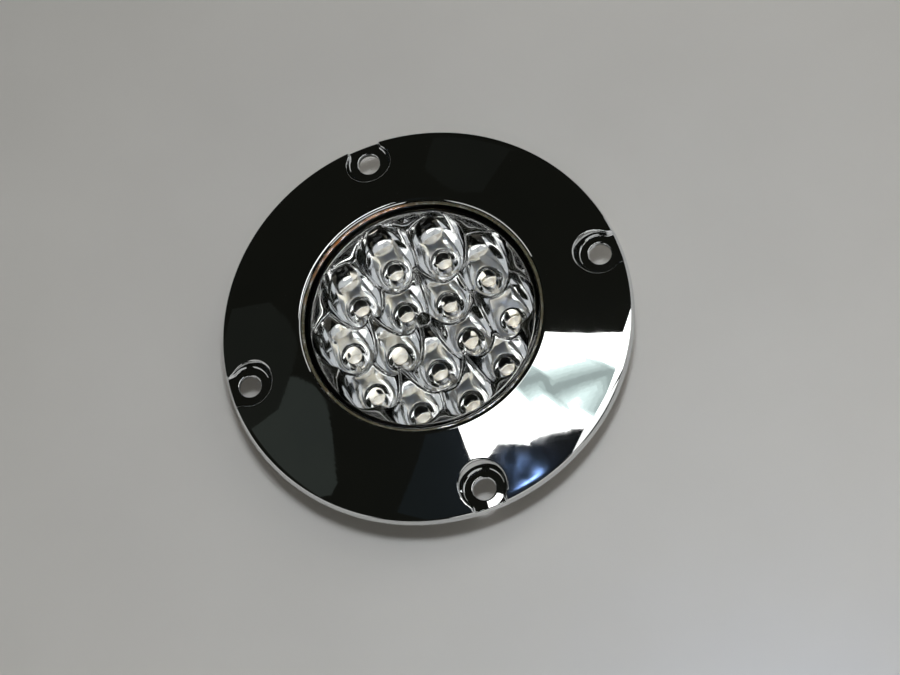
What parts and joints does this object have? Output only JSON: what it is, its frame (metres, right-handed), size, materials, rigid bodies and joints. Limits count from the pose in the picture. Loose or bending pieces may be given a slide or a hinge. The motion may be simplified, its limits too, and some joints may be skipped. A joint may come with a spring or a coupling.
{
  "type": "trailer tail light",
  "caption": "Round LED trailer tail light with a chromed screw-on flange, a clear lens, a reflector with a deep well per LED, and a plug socket at the back.",
  "frame": {"origin": "centre of the mounting plane, where the back of the flange meets the panel", "axes": "+Z out of the lens along the lamp's axis; the screw holes lie on the X and Y axes"},
  "size_m": [0.128, 0.128, 0.0383],
  "materials": {
    "bezel_chrome": "bright chrome plating on moulded plastic",
    "clear_lens": "clear polished plastic",
    "sealant": "amber sealant, glossy where it is squeezed out",
    "adhesive": "black adhesive",
    "reflector_chrome": "bright vacuum-metallised plastic",
    "led_epoxy": "water-clear epoxy",
    "led_metal": "silver-plated steel",
    "board": "glass-fibre board with green solder mask",
    "solder": "bright solder",
    "resistor_body": "black ceramic chip with tinned ends",
    "component_black": "black moulded epoxy",
    "screw_steel": "zinc-plated steel",
    "terminal_brass": "bright brass",
    "housing_black": "fine-textured black plastic",
    "gasket_foam": "closed-cell black foam"
  },
  "bodies": {
    "root": {"bezel": "bezel_chrome", "lens": "clear_lens", "lens_seal": "sealant", "bezel_bond": "adhesive", "reflector": "reflector_chrome", "led_01": "led_epoxy", "led_02": "led_epoxy", "led_03": "led_epoxy", "led_04": "led_epoxy", "led_05": "led_epoxy", "led_06": "led_epoxy", "led_07": "led_epoxy", "led_08": "led_epoxy", "led_09": "led_epoxy", "led_10": "led_epoxy", "led_11": "led_epoxy", "led_12": "led_epoxy", "led_13": "led_epoxy", "led_14": "led_epoxy", "led_15": "led_epoxy", "leadframe_01": "led_metal", "leadframe_02": "led_metal", "leadframe_03": "led_metal", "leadframe_04": "led_metal", "leadframe_05": "led_metal", "leadframe_06": "led_metal", "leadframe_07": "led_metal", "leadframe_08": "led_metal", "leadframe_09": "led_metal", "leadframe_10": "led_metal", "leadframe_11": "led_metal", "leadframe_12": "led_metal", "leadframe_13": "led_metal", "leadframe_14": "led_metal", "leadframe_15": "led_metal", "circuit_board": "board", "solder_joints": "solder", "resistor_01": "resistor_body", "resistor_02": "resistor_body", "resistor_03": "resistor_body", "resistor_04": "resistor_body", "resistor_05": "resistor_body", "diode_tail": "component_black", "diode_stop": "component_black", "board_screws": "screw_steel", "pin_ground": "terminal_brass", "pin_tail": "terminal_brass", "pin_stop": "terminal_brass", "housing": "housing_black", "mounting_gasket": "gasket_foam"}
  },
  "joints": []
}
